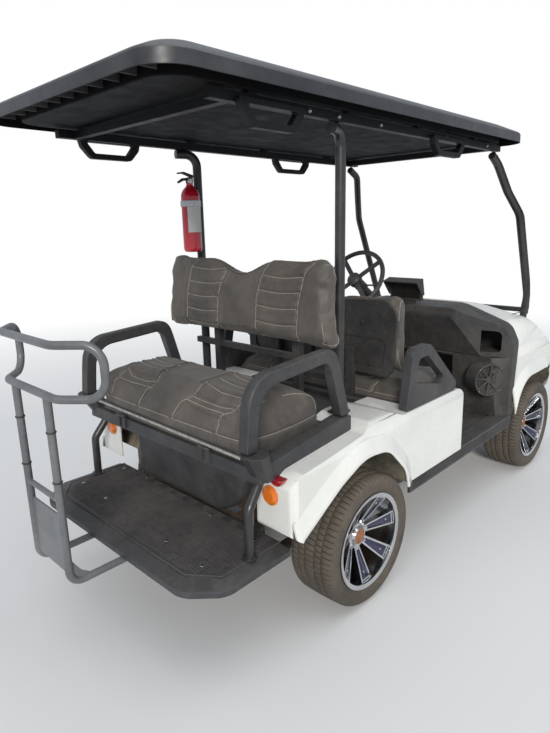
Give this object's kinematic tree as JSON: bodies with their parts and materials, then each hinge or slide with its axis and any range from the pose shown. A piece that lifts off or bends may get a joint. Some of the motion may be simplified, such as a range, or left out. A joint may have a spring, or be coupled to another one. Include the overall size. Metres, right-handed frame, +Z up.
{
  "type": "four seat golf cart",
  "caption": "Golf cart with a moulded roof, a forward bench, a rear-facing bench over a step with a grab bar, steered front wheels and low-profile tyres.",
  "frame": {"origin": "middle of the bounding box on the ground plane under the tyres", "axes": "+X towards the nose, +Y to the cart's left, +Z up"},
  "size_m": [2.9874, 1.224, 1.8979],
  "materials": {
    "tyre": "matte",
    "rim_machined": "satin",
    "white_body": "gloss",
    "black_trim": "matte",
    "dark_interior": "satin",
    "black_frame": "satin",
    "chassis_paint": "satin",
    "axle_steel": "satin",
    "seat_cover": "matte",
    "roof_plastic": "satin",
    "lamp_clear": "gloss",
    "lamp_red": "gloss",
    "battery_case": "matte",
    "extinguisher_red": "gloss",
    "cable_rubber": "matte",
    "screen": "gloss"
  },
  "bodies": {
    "root": {"chassis_frame": "chassis_paint", "rear_axle": "axle_steel", "suspension": "axle_steel", "battery_pack": "battery_case", "floor_pan": "dark_interior", "sills": "black_trim", "rear_body": "white_body", "front_cowl": "white_body", "wheel_liners": "black_trim", "front_bumper": "black_trim", "dash": "dark_interior", "display": "screen", "speakers": "black_trim", "driver_controls": "black_frame", "headlights": "lamp_clear", "tail_lights": "lamp_red", "seat_pod": "dark_interior", "front_seat_cushion": "seat_cover", "front_seat_back": "seat_cover", "seat_back_frame": "black_frame", "front_armrests": "black_trim", "rear_seat_tray": "black_trim", "rear_seat_back": "seat_cover", "rear_armrests": "black_trim", "rear_skirt": "black_trim", "footplate": "black_trim", "footplate_supports": "black_frame", "grab_bar": "black_frame", "canopy": "roof_plastic", "roof_rails": "black_frame", "roof_struts": "black_frame", "fire_extinguisher": "extinguisher_red", "light_cable": "cable_rubber"},
    "steer_left": {"knuckle_left": "axle_steel"},
    "steer_right": {"knuckle_right": "axle_steel"},
    "steering_wheel": {"steering_wheel": "black_trim"},
    "rear_seat": {"rear_seat_cushion": "seat_cover"},
    "wheel_rear_left": {"tyre_rear_left": "tyre", "rim_rear_left": "rim_machined"},
    "wheel_rear_right": {"tyre_rear_right": "tyre", "rim_rear_right": "rim_machined"},
    "wheel_front_left": {"tyre_front_left": "tyre", "rim_front_left": "rim_machined"},
    "wheel_front_right": {"tyre_front_right": "tyre", "rim_front_right": "rim_machined"}
  },
  "joints": [
    {"name": "spin_rear_left", "type": "hinge", "parent": "root", "child": "wheel_rear_left", "pos_m": [-0.53625, 0.5075, 0.257], "axis": [0, 1, 0], "continuous": true},
    {"name": "spin_rear_right", "type": "hinge", "parent": "root", "child": "wheel_rear_right", "pos_m": [-0.53625, -0.5075, 0.257], "axis": [0, 1, 0], "continuous": true},
    {"name": "spin_front_left", "type": "hinge", "parent": "steer_left", "child": "wheel_front_left", "pos_m": [1.12375, 0.5075, 0.257], "axis": [0, 1, 0], "continuous": true},
    {"name": "spin_front_right", "type": "hinge", "parent": "steer_right", "child": "wheel_front_right", "pos_m": [1.12375, -0.5075, 0.257], "axis": [0, 1, 0], "continuous": true},
    {"name": "steer_left", "type": "hinge", "parent": "root", "child": "steer_left", "pos_m": [1.12375, 0.43, 0.257], "axis": [0, 0, 1], "range_deg": [-24, 24]},
    {"name": "steer_right", "type": "hinge", "parent": "root", "child": "steer_right", "pos_m": [1.12375, -0.43, 0.257], "axis": [0, 0, 1], "range_deg": [-24, 24]},
    {"name": "steering_wheel_turn", "type": "hinge", "parent": "root", "child": "steering_wheel", "pos_m": [0.54375, 0.27, 1.107], "axis": [-0.8387, 0, 0.5446], "range_deg": [-450, 450]},
    {"name": "rear_seat_flip", "type": "hinge", "parent": "root", "child": "rear_seat", "pos_m": [-1.04225, 0, 0.702], "axis": [0, -1, 0], "range_deg": [0, 180]}
  ],
  "couplings": [
    {"joint": "steer_right", "follows": "steer_left", "ratio": 1},
    {"joint": "steering_wheel_turn", "follows": "steer_left", "ratio": 18.75}
  ]
}
